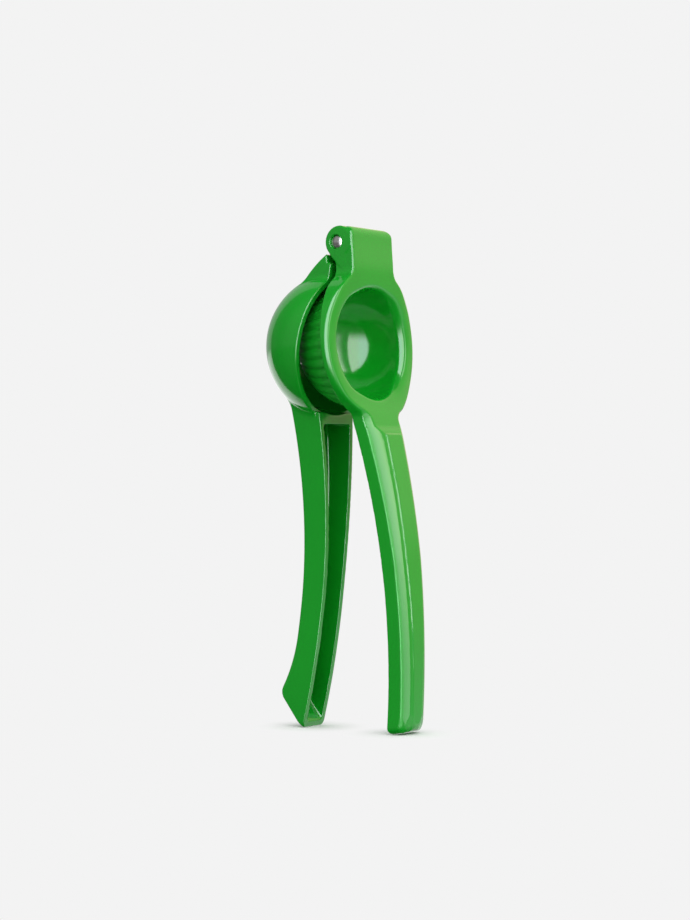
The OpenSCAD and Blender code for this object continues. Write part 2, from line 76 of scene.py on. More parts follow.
# The upper lever's ring, dome and dish.
RING_Z, RING_R, DOME_R, DISH_R = -42.6, 32.5, 26.5, 23.7
DOME_FRONT, DISH_FRONT, DISH_SQUASH = 4.0, 14.0, 1.04
FLUTES, FLUTE_DEPTH, FLUTE_RISE, FLUTE_SHARPNESS = 36, 0.75, 0.6, 1.6
CROWN, CROWN_CURVE, CROWN_AT = 0.35, 0.045, 28.2
# Webs in the corners beside the ring: half width of block or handle, radius, and above or below.
WEBS = ((BLOCK_HALF_W, 6.0, 1), (13.28, 4.0, -1))

# The upper lever's handle. Each arc is its furthest x and its radius.
PRESS_END, PRESS_MID, PRESS_ROOT = -205.9, -159.0, -75.1
PRESS_FRONT_ARC, PRESS_BACK_ARC = (20.7, 393.0), (13.2, 362.0)
PRESS_FOOT_W, PRESS_SWELL, PRESS_SWELL_POWER = 8.7, 4.6, 1.8
PRESS_WALL, PRESS_TROUGH_TOP, PRESS_TROUGH_END = 2.4, -79.1, 5.2
PANEL_TOP, PANEL_INSET, LEDGE, PANEL_STEP, STEP_WIDTH = -80.6, 0.45, 1.5, 0.7, 0.6
FLANK_TILT, FLANK_SLOPE, FLANK_CROWN = 31.5, 0.613, 0.013
SINK_AT_FOOT, SINK_RATE, SINK_FROM = 1.0, 0.0237, -133.0
# The end of the foot rises by a share of how far x is in front of a place.
END_RISE_SHARE, END_RISE_FROM = 0.12, 9.0

# The upper lever's rounded edges and fillets. The front edge's radius is that at the block, then
# what ring and handle add to it, then what the foot adds; the flank's is the same without the ring.
FRONT_EDGE_R, FRONT_EDGE_RING, FRONT_EDGE_FOOT = 1.3, 0.7, 1.4
FLANK_EDGE_R, FLANK_EDGE_FOOT = 0.3, 1.7
BACK_EDGE_R, FOOT_CORNER_R, FOOT_BACK_R = 0.5, 3.4, 2.8
EAR_EDGE_R, HEEL_R, EAR_FILLET_R, DOME_FILLET_R = 0.9, 2.5, 0.5, 0.6
DISH_EDGE_R, DISH_EDGE_SIDE = 1.9, 1.2
SLOT_EDGE_R, PRESS_TROUGH_EDGE_R, PRESS_TROUGH_END_R = 0.4, 0.5, 1.2
TROUGH_R, HOLE_EDGE_R, FLOOR_EDGE_R = 1.4, 0.15, 0.3

# The lower lever's bowl, with its drain holes: how many on a ring, its radius and its first angle.
CUP_Z, CUP_R, CUP_WALL, CUP_RIM = -43.6, 31.7, 2.8, -0.8
DRAIN_R, DRAIN_RINGS = 1.85, ((6, 7.0, 0.0), (12, 14.6, np.pi / 12))
NECK_TIP, NECK_REAR = np.array([-3.7, -5.0]), np.array([-14.4, -19.2])
NECK_LENGTH, NECK_BULGE = 16.9, 0.75
SEAT_R, SEAT_LINE = 9.4, ((0.96, 0.279), (-3.0, -8.8))
# How far above the bowl's centre the neck ends, and how far below it the handle begins.
CUP_OVERLAP = 14.0
# Where the handle begins in front of the rim.
CUP_HANDLE_TOP = -71.6

# The lower lever's handle. Below the middle its back swings out by the beak's reach.
CUP_END, CUP_MID = -206.0, -168.0
CUP_FRONT_ARC, CUP_BACK_ARC = (13.0, 404.0), (1.4, 301.0)
BEAK_REACH = 12.0
BEAK_R = ((CUP_MID - CUP_END) ** 2 + BEAK_REACH**2) / (2 * BEAK_REACH)
BEAK_TIP_R, BEAK_SLOPE = 4.0, 43.0
BEAK_TIP_Z, BEAK_TIP_GAP = -205.0, 0.35
CUP_FOOT_W, CUP_SWELL, CUP_SWELL_POWER, CUP_SWELL_FROM, CUP_ROOT = 7.7, 4.7, 1.7, -150.0, -72.5
CUP_FLOOR, CUP_SIDE_WALL, CUP_TROUGH_TOP, CUP_END_WALL = 2.6, 2.3, -76.5, 2.7

# The lower lever's rounded edges and fillets.
BOWL_FILLET_R, NECK_FILLET_R, TONGUE_FILLET_R = 2.4, 1.6, 0.6
RIM_EDGE_R, SEAT_EDGE_R, NECK_EDGE_R, TONGUE_EDGE_R = 0.6, 0.25, 0.8, 0.5
HANDLE_EDGE_R, HANDLE_BACK_R, CUP_CORNER_R = 0.4, 2.0, 3.0
CUP_TROUGH_END_R, CUP_TROUGH_EDGE_R, EYE_EDGE_R = 1.6, 0.3, 0.3

# Meshing

# Steps of the grids in mm: in general, round hole and slot, at walls, at the feet, down the handles.
COARSE = 1.0
PLAIN, FINE, WALL, FOOT, LONG = (step * COARSE for step in (0.62, 0.31, 0.4, 0.7, 1.3))
# How many steps bring a point onto the surface, and the longest of them in mm. The slope for the
# shading is taken over twice SHADING_H.
SETTLING_STEPS, SETTLING_REACH = 4, 0.25
SHADING_H = 0.12

# Looks

PALE = "F3F3F3"
# Noise per metre, from the size in mm of the enamel's runs, of its orange peel and of the pin's grain.
FLOW_SCALE, PEEL_SCALE, GRAIN_SCALE = 1000 / 22.2222, 1000 / 2.083333, 1000 / 1.111111
PEEL_HEIGHT = 0.0002  # metres
EDGE_DULL = 0.7  # along the edges of the flanks; 1 on the flutes

# The floor in metres: half its side, where the feet stand, how the shadow fades with the distance
# from them, and how much more light it throws back further to the right.
FLOOR_HALF = 4.0
FEET_X = (0.0286, -0.0194)
SHADOW_FADE = (0.004, 0.026, 0.0, 1.0)
THROWN_BACK = (-0.1, 0.15, 0.34, 0.6)

# Light on dull surfaces: from all round, and lamps with their direction, power and strength. The
# first lamp is the sky, the second the key, the third a fill from the right.
EVEN_LIGHT = 0.74
LAMPS = (((0, 0, 1), 1.0, 0.42), ((0.75, -0.47, 0.46), 3.0, 0.95), ((0.96, 0.05, 0.28), 4.0, 0.45))

# What gloss mirrors. Each step goes smoothly, as its angle in degrees passes from the first mark to
# the second, from the first level to the second.
CAMERA_RIGHT, TO_CAMERA = (0.819, 0.574, 0), (0.574, -0.819, 0)
ROOM_LEVEL, WINDOW_LEVEL = 0.55, 7.0
COOL, WARM = (0.97, 1.08, 1.17, 1.0), (1.0, 0.95, 0.6, 1.0)
ROOM_STEPS = {
    "window_left": ("az", -26, -24, 0, 1),
    "window_right": ("az", 26, 28, 1, 0),
    "window_foot": ("el", -34, -10, 0, 1),
    "window_top": ("el", 59, 61, 1, 0),
    "pane_left": ("az", 35.5, 53, 0, 1),
    "pane_right": ("az", 54, 57, 1, 0),
    "pane_foot": ("el", -30, -15, 0, 1),
    "pane_top": ("el", 50, 54, 1, 0),
    "pane_level": ("el", -8, 16, 2.9, 6.3),
    "dark_from": ("az", -138, -136, 0, 1),
    "dark_to": ("az", -45, -33, 1, 0),
    "dark_shade": ("az", -115, -80, 0.35, 1),
    "dark_level": ("el", -4, 4, 0.18, 0.38),
    "behind_to": ("az", -138, -136, 1, 0),
    "behind_level": ("el", -3, 3, 1.4, 0.3),
    "drop_from": ("az", 52, 64, 0, 1),
    "drop_foot": ("el", -16, -9, 1.15, 0.75),
    "drop_top": ("el", 4, 10, 0.75, 1.15),
    "floor_dim": ("el", -50, -24, 0.05, 1),
    "top_dim": ("el", 60, 72, 1, 0.2),
    "warm_from": ("az", 44, 64, 0, 1),
    "warm_foot": ("el", -12, 2, 0, 1),
    "cool_to": ("az", 0, 10, 1, 0),
}
ROOM_PRODUCTS = {
    "window": ("window_left", "window_right", "window_foot", "window_top"),
    "pane": ("pane_left", "pane_right", "pane_level", "pane_foot", "pane_top"),
    "dark_side": ("dark_from", "dark_to"),
    "dark": ("dark_level", "dark_shade"),
    "behind": ("behind_to", "behind_level"),
    "dim": ("floor_dim", "top_dim"),
    "warm": ("warm_from", "warm_foot", "glossy"),
    "cool": ("window", "cool_to", "glossy"),
}


# Fields: negative inside, in mm

def round_and(a, b, r):
    """Overlap of two forms, with their common edge rounded: the greater of the two fields,
    or the distance from a quarter circle of radius r where both are near."""
    return np.minimum(np.maximum(a, b), -r) + np.hypot(np.maximum(a + r, 0), np.maximum(b + r, 0))


def round_or(a, b, r):
    """Union of two forms with a fillet of radius r in the corner between them."""
    return np.maximum(np.minimum(a, b), r) - np.hypot(np.maximum(r - a, 0), np.maximum(r - b, 0))


def round_cut(a, b, r):
    """Form a less form b, with the rim of the cut rounded by r."""
    return round_and(a, -b, r)


def ease(t):
    """Smooth step from 0 to 1 as t goes from 0 to 1."""
    t = np.clip(t, 0, 1)
    return t * t * (3 - 2 * t)


def corner_web(field, side, z, centre, r, first, last):
    """Fillet of a known circle: inside the wedge at its centre, from direction first round to
    direction last, the field becomes r less the distance from the centre."""
    p, q = side - centre[0], z - centre[1]
    wedge = (first[0] * q - first[1] * p >= 0) & (p * last[1] - q * last[0] >= 0)
    return np.where(wedge, r - np.hypot(p, q), field)


def bow(z, x_max, z_mid, r):
    """Reach at height z of an arc of radius r whose furthest point x_max is at z_mid."""
    return x_max - r + np.sqrt(np.maximum(r * r - (z - z_mid) ** 2, 1))


def through(z, stations):
    """Smooth curve through (z, x) stations: cubic between them, its slope at each one taken
    from its two neighbours, and straight on beyond the ends."""
    s = np.array(sorted(stations), float)
    slope = np.gradient(s[:, 1], s[:, 0])
    k = np.clip(np.searchsorted(s[:, 0], z) - 1, 0, len(s) - 2)
    h = s[k + 1, 0] - s[k, 0]
    t = np.clip((z - s[k, 0]) / h, 0, 1)
    x = (
        (2 * t**3 - 3 * t**2 + 1) * s[k, 1]
        + (t**3 - 2 * t**2 + t) * h * slope[k]
        + (3 * t**2 - 2 * t**3) * s[k + 1, 1]
        + (t**3 - t**2) * h * slope[k + 1]
    )
    x = x + np.where(z < s[0, 0], (z - s[0, 0]) * slope[0], 0)
    return x + np.where(z > s[-1, 0], (z - s[-1, 0]) * slope[-1], 0)


def height(x, z, lean):
    """Height above the floor of a place in a lever's own frame, when the lever stands at its lean."""
    return z * np.cos(np.radians(lean)) - x * np.sin(np.radians(lean)) + HINGE[2]


def press_front(z):
    """Front of the press casting: flat over the block, a saddle over the ring, then the handle's arc."""
    crown = [(12, 8.4), (0, 8.4), (-14, 8.4), (-20, 7.7), (-27, 6.7), (-34, 5.95), (-42, 5.7),
             (-50, 5.85), (-59, 6.6), (-66, 8.0), (-73, 10.5), (-80, 12.65), (-90, 14.6)]
    furthest, r = PRESS_FRONT_ARC
    return np.where(z > -85, through(z, crown), bow(z, furthest, PRESS_MID, r))


def press_back(z):
    """Back of the press casting: the neck, the back of the ring, a ledge and the handle's back arc."""
    back = through(z, [(10, -0.5), (-12, -0.5), (-18, -0.2), (-25, 0.8), (-34, 1.7), (-43, 2.0),
                       (-52, 2.3), (-62, 2.8), (-70, 3.0), (-73, 3.2)])
    furthest, r = PRESS_BACK_ARC
    return np.where(z > -74.5, back, bow(z, furthest, PRESS_MID, r))


def press_half_w(z):
    """Half width of the press handle: it swells from the foot to the root, faster and faster."""
    share = np.clip((z - PRESS_END) / (PRESS_ROOT - PRESS_END), 0, 1)
    return PRESS_FOOT_W + PRESS_SWELL * share**PRESS_SWELL_POWER


def flute_wave(turn):
    """Flutes as a wave of rounded ribs with narrow valleys, 0 on the ribs and 1 in the valleys."""
    return (0.5 - 0.5 * np.cos(turn * FLUTES)) ** FLUTE_SHARPNESS


def slant(x, z):
    """Distance down and forward along the slanting mouth of the slot, 43.7 degrees below the level."""
    return SLANT[0] * x + SLANT[1] * z


def past_line(x, z, line):
    """Distance past a straight line across the side view, given by its direction out and a point."""
    (out_x, out_z), (at_x, at_z) = line
    return out_x * (x - at_x) + out_z * (z - at_z)


def press_outline(side, z):
    """Front view of the upper lever: ring, hinge block and handle, with round webs in the corners."""
    ring = np.hypot(side, z - RING_Z) - RING_R
    block = np.maximum(round_and(side - BLOCK_HALF_W, z - EAR_R, BLOCK_CORNER_R), RING_Z - z)
    stem = np.maximum(side - press_half_w(z), z - RING_Z)
    outline = np.minimum(np.minimum(ring, block), stem)
    for beside, r, up in WEBS:
        y = beside + r
        rise = np.sqrt((RING_R + r) ** 2 - y * y)
        centre = (y, RING_Z + up * rise)
        to_ring = (-y / (RING_R + r), -up * rise / (RING_R + r))
        ends = ((-1, 0), to_ring) if up > 0 else (to_ring, (-1, 0))
        outline = corner_web(outline, side, z, centre, r, *ends)
    return outline


def flank_sink(z):
    """How far behind the handle's front curve its flanks meet its sides: further up to the root."""
    return SINK_AT_FOOT + SINK_RATE * np.maximum(z - SINK_FROM, 0)


def press_face(x, y, z):
    """Distance in front of the upper lever's front curve. Beside the dish the ring is crowned: it
    stands most proud at CROWN_AT from the axis, less a share of the square of the way from there."""
    across = np.hypot(y, z - RING_Z)
    near = ease((np.abs(y) - 8) / 10) * ease((24 - np.abs(z - RING_Z)) / 8)
    crown = near * (CROWN - CROWN_CURVE * (across - CROWN_AT) ** 2)
    return x - press_front(z) - np.maximum(crown, -1.0)


def press_plate(x, side, z, face):
    """Block, ring and handle as a plate between front and back curves, inside the front outline.
    Down the handle its front is a raised panel with a stepped edge between two flanks, which slope
    back to the sides and are a little crowned. Near the foot the step is lower, the edges blunter."""
    beside = press_outline(side, z)
    end = PRESS_END + END_RISE_SHARE * np.maximum(x - END_RISE_FROM, 0)
    outline = round_and(beside, end - z, FOOT_CORNER_R)
    sink = flank_sink(z)
    inside = np.minimum(-beside - (sink + LEDGE + 0.25) / FLANK_SLOPE - PANEL_INSET, PANEL_TOP - z)
    step = (PANEL_STEP - 0.45 * ease((-150 - z) / 40)) * np.clip(inside / STEP_WIDTH, 0, 1)
    front = round_and(face - LEDGE * ease((-76.8 - z) / 4.2) - step, z - EAR_R, BLOCK_TOP_R)
    blunt = ease((-197 - z) / 6)
    edge_r = FRONT_EDGE_R + FRONT_EDGE_RING * ease((-16 - z) / 8) + FRONT_EDGE_FOOT * blunt
    plate = round_and(outline, front, edge_r)
    tilt = np.radians(FLANK_TILT)
    flank = (face + sink - 4.5 * ease((z + 76) / 14)) * np.cos(tilt) + beside * np.sin(tilt)
    from_middle = np.clip(beside + (sink + LEDGE) / (2 * FLANK_SLOPE), -3, 3)
    flank = flank + FLANK_CROWN * from_middle**2
    plate = round_and(plate, flank, FLANK_EDGE_R + FLANK_EDGE_FOOT * blunt)
    back = press_back(z) - x
    foot = round_and(back, PRESS_END - z, FOOT_BACK_R)
    return round_and(plate, np.where(z < -190, foot, back), BACK_EDGE_R)


def press_ears(x, side, z):
    """The ears: round over the top, then down to a slanting underside."""
    heel = round_and(*(past_line(x, z, line) for line in HEEL_LINES), HEEL_R)
    heel = np.maximum(np.maximum(heel, z), x - 5)
    ears = np.minimum(np.hypot(x - EAR_X, z) - EAR_R, heel)
    return round_and(ears, side - BLOCK_HALF_W, EAR_EDGE_R)


def fluted_dome(x, y, z):
    """A ball less its flutes, carried forward as a round rod that ends inside the ring. From the
    pole, a flute's depth grows with the sine of the angle until the sine is FLUTE_RISE."""
    rz = z - RING_Z
    reach = np.sqrt(np.minimum(x, 0) ** 2 + y * y + rz * rz)
    lift = np.clip(np.hypot(y, rz) / np.maximum(reach, 1e-6), 0, 1)
    flute = FLUTE_DEPTH * np.minimum(lift / FLUTE_RISE, 1) * flute_wave(np.arctan2(y, rz))
    return np.maximum(reach - DOME_R + flute, x - DOME_FRONT)


def tongue_slot(x, side, z):
    """The slot for the tongue between the ears, open to the back and the top."""
    slot = np.maximum(np.minimum(x, slant(x, z) - SLOT_R), -z - SLOT_FLOOR)
    slot = np.minimum(np.hypot(x, z) - SLOT_R, np.maximum(slot, x + np.minimum(z, 0)))
    slot = np.minimum(slot, np.maximum(x - SLOT_FRONT, -z))
    return round_and(slot, side - SLOT_HALF_W, SLOT_EDGE_R)


def press_field(x, y, z):
    """The upper lever: the plate joined to the round ears and to the fluted dome, less the dish,
    the slot, the handle's channel and the pin's hole, and level with the floor at the foot."""
    side, rz = np.abs(y), z - RING_Z
    face = press_face(x, y, z)
    lever = round_or(press_plate(x, side, z, face), press_ears(x, side, z), EAR_FILLET_R)
    lever = round_or(lever, fluted_dome(x, y, z), DOME_FILLET_R)
    # The dish follows the dome inside and rolls over into the front of the ring.
    dish = np.sqrt(np.minimum(x, 0) ** 2 + y * y + DISH_SQUASH * rz * rz) - DISH_R
    lever = np.where(x > DISH_FRONT, lever, np.maximum(lever, -dish))
    edge_r = DISH_EDGE_R + DISH_EDGE_SIDE * ease((side - 8) / 10)
    rolled = np.maximum(lever, round_and(face, -dish, edge_r))
    lever = np.where((np.abs(rz) < DOME_R + 1) & (x > 0) & (x < DISH_FRONT), rolled, lever)
    lever = round_cut(lever, tongue_slot(x, side, z), SLOT_EDGE_R)
    # The channel in the handle's back.
    trough = round_and(face + PRESS_WALL, side - press_half_w(z) + PRESS_WALL, TROUGH_R)
    ends = np.maximum(z - PRESS_TROUGH_TOP, PRESS_END + PRESS_TROUGH_END - z)
    trough = round_and(trough, ends, PRESS_TROUGH_END_R)
    lever = np.where(z < -70, round_cut(lever, trough, PRESS_TROUGH_EDGE_R), lever)
    lever = round_cut(lever, np.hypot(x, z) - PIN_R - PIN_GAP_IN_EARS, HOLE_EDGE_R)
    return round_and(lever, -height(x, z, PRESS_LEAN), FLOOR_EDGE_R)


def cup_front(z):
    """Front of the cup handle, one arc."""
    furthest, r = CUP_FRONT_ARC
    return bow(z, furthest, CUP_MID, r)


def cup_back(z):
    """Back of the cup handle: one arc down to the middle, and a tighter one out to the beak."""
    furthest, r = CUP_BACK_ARC
    return np.where(z < CUP_MID, bow(z, furthest, CUP_MID, BEAK_R), bow(z, furthest, CUP_MID, r))


def cup_half_w(z):
    """Half width of the cup handle: even up from the foot, then a swell to the root."""
    share = np.clip((z - CUP_SWELL_FROM) / (CUP_ROOT - CUP_SWELL_FROM), 0, 1)
    return CUP_FOOT_W + CUP_SWELL * share**CUP_SWELL_POWER


def cup_neck(x, side, z):
    """The neck, from its tip past the seat that clears the ears, and down into the bowl. Its back is
    the line from rear to tip plus a parabola. Gives the neck, and how far behind that back a place is."""
    along = (NECK_TIP - NECK_REAR) / np.hypot(*(NECK_TIP - NECK_REAR))
    px, pz = x - NECK_REAR[0], z - NECK_REAR[1]
    t = np.clip((px * along[0] + pz * along[1]) / NECK_LENGTH, 0, 1)
    behind = -px * along[1] + pz * along[0] - 4 * NECK_BULGE * t * (1 - t)
    seat = np.minimum(SEAT_R - np.hypot(x, z), past_line(x, z, SEAT_LINE))
    neck = round_and(round_and(behind, x - CUP_RIM, RIM_EDGE_R), seat, SEAT_EDGE_R)
    neck = np.maximum(neck, CUP_Z + CUP_OVERLAP - z)
    return round_and(neck, side - BLOCK_HALF_W, NECK_EDGE_R), behind


def cup_handle(x, side, z):
    """The handle between its arcs, with its beak and its sloping end. Gives the handle, and how far
    past the sloping end a place is."""
    cos_s, sin_s = np.cos(np.radians(BEAK_SLOPE)), np.sin(np.radians(BEAK_SLOPE))
    past = (cup_front(BEAK_TIP_Z) - x) * sin_s - (z - CUP_END) * cos_s - BEAK_TIP_GAP
    profile = round_and(cup_back(z) - x, past, BEAK_TIP_R)
    profile = round_and(profile, x - cup_front(z), HANDLE_EDGE_R)
    profile = np.maximum(profile, z - CUP_Z + CUP_OVERLAP)
    outline = round_and(side - cup_half_w(z), CUP_END - z, CUP_CORNER_R)
    handle = round_and(profile, outline, HANDLE_EDGE_R)
    return np.maximum(handle, round_and(outline, cup_back(z) - x, HANDLE_BACK_R)), past


def cup_tongue(x, side, z, behind):
    """The tongue between the ears: round about the pin, with a web down to the neck's back."""
    web = np.maximum(np.minimum(slant(x, z) - TONGUE_R, x - CUP_RIM), np.maximum(-z - TONGUE_FLOOR, x + z))
    tongue = np.minimum(np.hypot(x, z) - TONGUE_R, np.maximum(web, behind))
    return round_and(tongue, side - TONGUE_HALF_W, TONGUE_EDGE_R)


def drain_holes(y, rz):
    """The holes along the bowl's axis: the rings, then the one in the middle. In a ring, each place
    is turned into the sector of its nearest hole, and the law of cosines gives the distance."""
    turn, far = np.arctan2(y, rz), np.hypot(y, rz)
    for count, radius, start in DRAIN_RINGS:
        pitch = 2 * np.pi / count
        off = (turn - start + pitch / 2) % pitch - pitch / 2
        yield np.sqrt(far**2 + radius**2 - 2 * far * radius * np.cos(off)) - DRAIN_R
    yield far - DRAIN_R


def cup_field(x, y, z):
    """The lower lever: half a hollow ball joined to the handle below it and to the neck and tongue
    above it, less the handle's channel, the drain holes and the pin's hole."""
    side, rx, rz = np.abs(y), x - CUP_RIM, z - CUP_Z
    ball = np.sqrt(rx * rx + y * y + rz * rz)
    neck, behind = cup_neck(x, side, z)
    handle, past = cup_handle(x, side, z)
    lever = round_or(round_or(ball - CUP_R, handle, BOWL_FILLET_R), neck, NECK_FILLET_R)
    # Bowl and neck end at the rim plane; the handle goes on in front of it.
    lever = round_and(lever, x - CUP_RIM, RIM_EDGE_R)
    lever = np.minimum(lever, round_and(handle, z - CUP_HANDLE_TOP, HANDLE_EDGE_R))
    hollow = np.where(rx > 0, np.hypot(y, rz), ball) - CUP_R + CUP_WALL
    lever = round_cut(lever, hollow, RIM_EDGE_R)
    lever = round_or(lever, cup_tongue(x, side, z, behind), TONGUE_FILLET_R)
    # The channel in the handle's front, closed at the foot by a wall along the slope.
    trough = round_and(cup_back(z) + CUP_FLOOR - x, side - cup_half_w(z) + CUP_SIDE_WALL, TROUGH_R)
    ends = np.maximum(z - CUP_TROUGH_TOP, past + CUP_END_WALL)
    trough = round_and(trough, ends, CUP_TROUGH_END_R)
    lever = np.where(z < -68, round_cut(lever, trough, CUP_TROUGH_EDGE_R), lever)
    for hole in drain_holes(y, rz):
        lever = np.where(x < -8, round_cut(lever, hole, HOLE_EDGE_R), lever)
    lever = round_cut(lever, np.hypot(x, z) - PIN_R - PIN_GAP_IN_TONGUE, EYE_EDGE_R)
    return round_and(lever, -height(x, z, CUP_LEAN), FLOOR_EDGE_R)


# From field to mesh

def beside(at, a, db, dc):
    """The cell next to each grid edge along axis a, one back or none along the two other axes."""
    cell = at.copy()
    cell[:, (a + 1) % 3] -= db
    cell[:, (a + 2) % 3] -= dc
    return cell


def skin(field, xs, ys, zs):
    """Surface where the field is nought, as four-sided faces. Each cell of the grid through which the
    surface passes gets one point, at the mean of the crossings on the cell's edges; each grid edge
    that it crosses gets one face between the four cells round it. Steps along the field's slope,
    each the field over its slope in length, then bring every point onto the surface."""
    lines = (xs, ys, zs)
    f = field(*np.meshgrid(*lines, indexing="ij"))
    shape = tuple(n - 1 for n in f.shape)
    total, count = np.zeros(shape + (3,)), np.zeros(shape)
    crossings = []
    for a in range(3):
        low = [slice(None)] * 3
        high = [slice(None)] * 3
        low[a], high[a] = slice(0, -1), slice(1, None)
        f0, f1 = f[tuple(low)], f[tuple(high)]
        cross = (f0 < 0) != (f1 < 0)
        at = np.argwhere(cross)
        crossings.append((at, f0[cross] < 0))
        t = f0[cross] / (f0[cross] - f1[cross])
        point = np.stack([lines[k][at[:, k]] for k in range(3)], 1)
        point[:, a] += t * (lines[a][at[:, a] + 1] - lines[a][at[:, a]])
        for db, dc in ((0, 0), (0, 1), (1, 0), (1, 1)):
            cell = beside(at, a, db, dc)
            ok = np.all((cell >= 0) & (cell < np.array(shape)), axis=1)
            key = tuple(cell[ok].T)
            np.add.at(total, key, point[ok])
            np.add.at(count, key, 1)
    live = count > 0
    index = np.full(shape, -1)
    index[live] = np.arange(live.sum())
    points = total[live] / count[live][:, None]
    faces = []
    for a, (at, up) in enumerate(crossings):
        round_edge = ((1, 1), (0, 1), (0, 0), (1, 0))
        quad = np.stack([index[tuple(beside(at, a, db, dc).T)] for db, dc in round_edge], 1)
        quad[~up] = quad[~up][:, ::-1]
        faces.append(quad)
    for _ in range(SETTLING_STEPS):
        value, slope = slope_of(field, points)
        step = -(value / np.maximum((slope**2).sum(1), 0.25))[:, None] * slope
        size = np.linalg.norm(step, axis=1, keepdims=True)
        points = points + step * np.minimum(1, SETTLING_REACH / np.maximum(size, 1e-9))
    return points, np.concatenate(faces)


def slope_of(field, points, h=0.02):
    """The field at each point, and its slope from differences over 2 h."""
    x, y, z = points.T
    value = field(x, y, z)
    slope = np.stack([
        field(x + h, y, z) - field(x - h, y, z),
        field(x, y + h, z) - field(x, y - h, z),
        field(x, y, z + h) - field(x, y, z - h),
    ], 1) / (2 * h)
    return value, slope


def steps(*runs):
    """Grid lines: first where they start, then runs of (end, step) from the end of the run before."""
    out = [runs[0]]
    for end, step in runs[1:]:
        n = max(1, round(abs(end - out[-1]) / step))
        out.extend(np.linspace(out[-1], end, n + 1)[1:])
    return np.array(out)


def turned(arrows, lean):
    """Arrows in a lever's own frame, turned about Y by its lean: x becomes x cos + z sin, and z
    becomes z cos - x sin."""
    c, s = np.cos(np.radians(lean)), np.sin(np.radians(lean))
    x, y, z = arrows.T
    return np.stack([x * c + z * s, y, z * c - x * s], 1)


def standing(points, lean):
    """From a lever's own frame in mm to the standing pose in metres: lean about the hinge, then lift."""
    return (turned(points, lean) + HINGE) / 1000


def mesh_object(name, points, faces):
    """An object in the scene whose mesh has these points and faces, shaded smooth."""
    mesh = bpy.data.meshes.new(name)
    mesh.from_pydata(points.tolist(), [], faces)
    mesh.polygons.foreach_set("use_smooth", [True] * len(mesh.polygons))
    mesh.update()
    obj = bpy.data.objects.new(name, mesh)
    bpy.context.scene.collection.objects.link(obj)
    return obj


def casting(name, field, xs, ys, zs, lean, dull=None):
    """A casting's mesh, shaded by the field's own slope. Where dull is 1 its enamel is less glossy."""
    points, faces = skin(field, xs, ys, zs)
    _, slope = slope_of(field, points, SHADING_H)
    normals = slope / np.maximum(np.linalg.norm(slope, axis=1, keepdims=True), 1e-9)
    obj = mesh_object(name, standing(points, lean), faces.tolist())
    obj.data.normals_split_custom_set_from_vertices(turned(normals, lean).tolist())
    if dull is not None:
        obj.data.attributes.new("dull", "FLOAT", "POINT").data.foreach_set("value", dull(points))
    return obj


def press_dull(points):
    """1 on the fluted dome, less along the edges where the flanks meet the handle's sides."""
    x, y, z = points.T
    reach = np.hypot(np.hypot(x, y), z - RING_Z)
    flutes = ease((-x - 1) / 2) * ease((reach - DOME_R + 2) / 0.5) * ease((-12 - z) / 2)
    near_side = ease((press_outline(np.abs(y), z) + 1.2) / 0.5)
    near_front = ease((x - press_front(z) + flank_sink(z) + 1.2) / 0.5)
    return np.maximum(flutes, EDGE_DULL * (near_side * near_front * ease((-78 - z) / 4)))


press = casting(
    "press_casting", press_field,
    steps(-27.7, (-3.6, PLAIN), (3.6, FINE), (23.9, PLAIN)),
    steps(-33.4, (-9.0, PLAIN), (-3.0, FINE), (3.0, PLAIN), (9.0, FINE), (33.4, PLAIN)),
    steps(-207.0, (-196.0, FOOT), (-84.0, LONG), (-3.6, PLAIN), (3.6, FINE), (8.0, PLAIN)),
    PRESS_LEAN, press_dull,
)
cup = casting(
    "cup_casting", cup_field,
    steps(-33.3, (14.2, PLAIN)),
    steps(-32.6, (-12.6, PLAIN), (-5.2, WALL), (5.2, PLAIN), (12.6, WALL), (32.6, PLAIN)),
    steps(-208.5, (-175.0, FOOT), (-80.0, LONG), (7.2, PLAIN)),
    CUP_LEAN,
)


def pin_body():
    """The pin as a profile turned about the hinge axis: a straight rod whose two ends are ground to
    caps of a ball, their centres level with the ears' faces and their edges sunk in the holes."""
    n, peak = PIN_SIDES, BLOCK_HALF_W - 0.1
    lean = np.linspace(0, np.arcsin(PIN_CAP_R / PIN_BALL_R), PIN_CAP_RINGS)
    cap = [(PIN_BALL_R * np.sin(a), peak - PIN_BALL_R + PIN_BALL_R * np.cos(a)) for a in lean]
    shoulder = cap[-1][1]
    edge = [(PIN_R - 0.03, shoulder - 0.07), (PIN_R, shoulder - 0.2), (PIN_R, shoulder - 2.0)]
    top = cap + edge
    profile = np.array(top + [(r, -y) for r, y in top[::-1]])
    turn = np.arange(n) * 2 * np.pi / n
    body = profile[1:-1]
    x, z = np.outer(body[:, 0], np.cos(turn)), np.outer(body[:, 0], np.sin(turn))
    points = np.stack([x, np.repeat(body[:, 1:], n, 1), z], 2).reshape(-1, 3)
    points = np.concatenate([points, [[0, profile[0, 1], 0], [0, profile[-1, 1], 0]]])
    i, j = np.meshgrid(np.arange(n), np.arange(len(body) - 1))
    k = (i + 1) % n
    quads = np.stack([j * n + i, (j + 1) * n + i, (j + 1) * n + k, j * n + k], 2).reshape(-1, 4)
    last, a = (len(body) - 1) * n, np.arange(n)
    b = (a + 1) % n
    faces = quads[:, ::-1].tolist()
    faces += np.stack([np.full(n, len(points) - 2), b, a], 1).tolist()
    faces += np.stack([np.full(n, len(points) - 1), last + a, last + b], 1).tolist()
    return mesh_object("hinge_pin_body", (points + HINGE) / 1000, faces)


pin = pin_body()

# Materials


def linear(code):
    """sRGB hex such as 3CA03C to the linear values that a shader takes."""
    v = np.array([int(code[i:i + 2], 16) for i in (0, 2, 4)]) / 255
    v = np.where(v <= 0.04045, v / 12.92, ((v + 0.055) / 1.055) ** 2.4)
    return (float(v[0]), float(v[1]), float(v[2]), 1.0)


